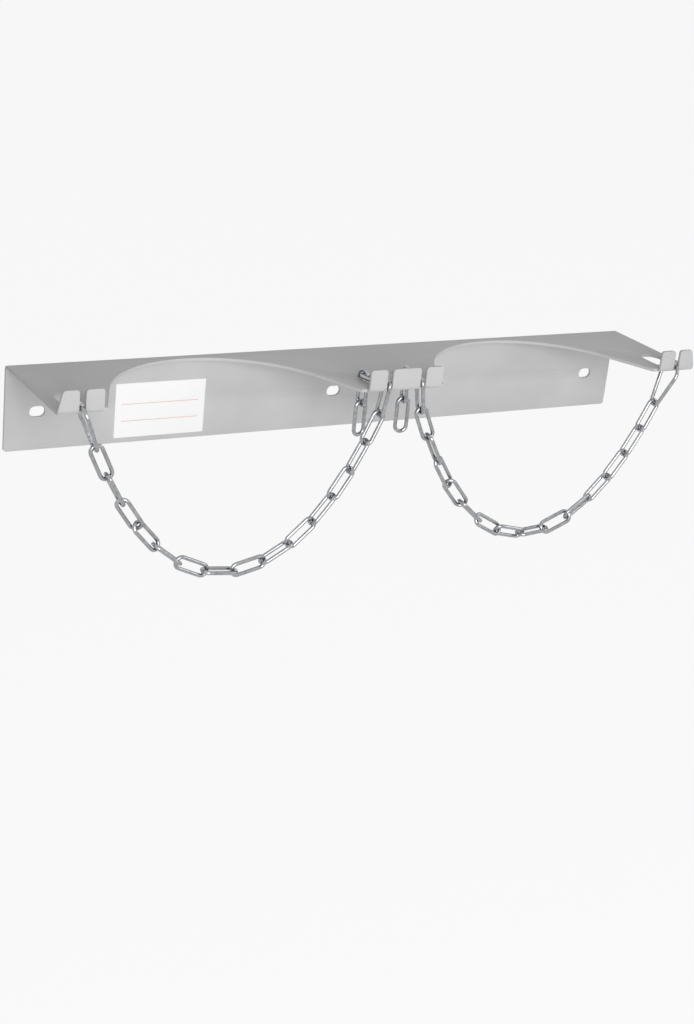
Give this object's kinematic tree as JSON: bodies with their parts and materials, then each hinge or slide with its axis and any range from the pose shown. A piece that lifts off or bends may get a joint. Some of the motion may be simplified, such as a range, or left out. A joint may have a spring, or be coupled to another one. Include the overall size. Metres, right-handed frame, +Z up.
{
  "type": "gas cylinder bracket",
  "caption": "Wall bracket folded from one steel sheet, with round bays for upright gas cylinders and welded-link safety chains hung across their mouths.",
  "frame": {"origin": "centre of the middle wall hole, on the wall plane at the back of the plate", "axes": "+X along the wall to the viewer's right, +Y into the wall, front towards -Y, +Z up"},
  "size_m": [0.72, 0.1532, 0.2055],
  "materials": {
    "painted_steel": "light grey powder coat, satin",
    "chain_zinc": "bright zinc plated steel wire",
    "label_film": "white film label, bare"
  },
  "bodies": {
    "frame": {"bracket": "painted_steel", "label": "label_film", "chain_left_flat_link": "chain_zinc", "chain_right_flat_link": "chain_zinc"},
    "chain_left": {"chain_left_end_link": "chain_zinc", "chain_left_link_02": "chain_zinc", "chain_left_link_03": "chain_zinc", "chain_left_link_04": "chain_zinc", "chain_left_link_05": "chain_zinc", "chain_left_link_06": "chain_zinc", "chain_left_link_07": "chain_zinc", "chain_left_link_08": "chain_zinc", "chain_left_link_09": "chain_zinc", "chain_left_link_10": "chain_zinc", "chain_left_link_11": "chain_zinc", "chain_left_link_12": "chain_zinc", "chain_left_link_13": "chain_zinc", "chain_left_link_14": "chain_zinc", "chain_left_link_15": "chain_zinc", "chain_left_link_16": "chain_zinc"},
    "tail_upper_left": {"chain_left_tail_upper": "chain_zinc"},
    "tail_lower_left": {"chain_left_tail_lower": "chain_zinc"},
    "chain_right": {"chain_right_end_link": "chain_zinc", "chain_right_link_02": "chain_zinc", "chain_right_link_03": "chain_zinc", "chain_right_link_04": "chain_zinc", "chain_right_link_05": "chain_zinc", "chain_right_link_06": "chain_zinc", "chain_right_link_07": "chain_zinc", "chain_right_link_08": "chain_zinc", "chain_right_link_09": "chain_zinc", "chain_right_link_10": "chain_zinc", "chain_right_link_11": "chain_zinc", "chain_right_link_12": "chain_zinc", "chain_right_link_13": "chain_zinc", "chain_right_link_14": "chain_zinc", "chain_right_link_15": "chain_zinc", "chain_right_link_16": "chain_zinc"},
    "tail_upper_right": {"chain_right_tail_upper": "chain_zinc"},
    "tail_lower_right": {"chain_right_tail_lower": "chain_zinc"}
  },
  "joints": [
    {"name": "chain_left_swing", "type": "hinge", "parent": "frame", "child": "chain_left", "pos_m": [-0.3333, -0.139, 0.04195], "axis": [0.9995, 0, 0.03], "range_deg": [-24, 15]},
    {"name": "tail_upper_left_swing", "type": "hinge", "parent": "frame", "child": "tail_upper_left", "pos_m": [-0.02463, -0.10344, 0.0514], "axis": [0.9877, 0.1564, 0], "range_deg": [-5, 10]},
    {"name": "tail_lower_left_swing", "type": "hinge", "parent": "tail_upper_left", "child": "tail_lower_left", "pos_m": [-0.02463, -0.10344, 0.0198], "axis": [-0.1564, 0.9877, 0], "range_deg": [-45, 45]},
    {"name": "chain_right_swing", "type": "hinge", "parent": "frame", "child": "chain_right", "pos_m": [0.3333, -0.139, 0.04195], "axis": [0.9995, 0, -0.03], "range_deg": [-24, 15]},
    {"name": "tail_upper_right_swing", "type": "hinge", "parent": "frame", "child": "tail_upper_right", "pos_m": [0.02463, -0.10344, 0.0514], "axis": [0.9877, -0.1564, 0], "range_deg": [-5, 10]},
    {"name": "tail_lower_right_swing", "type": "hinge", "parent": "tail_upper_right", "child": "tail_lower_right", "pos_m": [0.02463, -0.10344, 0.0198], "axis": [0.1564, 0.9877, 0], "range_deg": [-45, 45]}
  ]
}
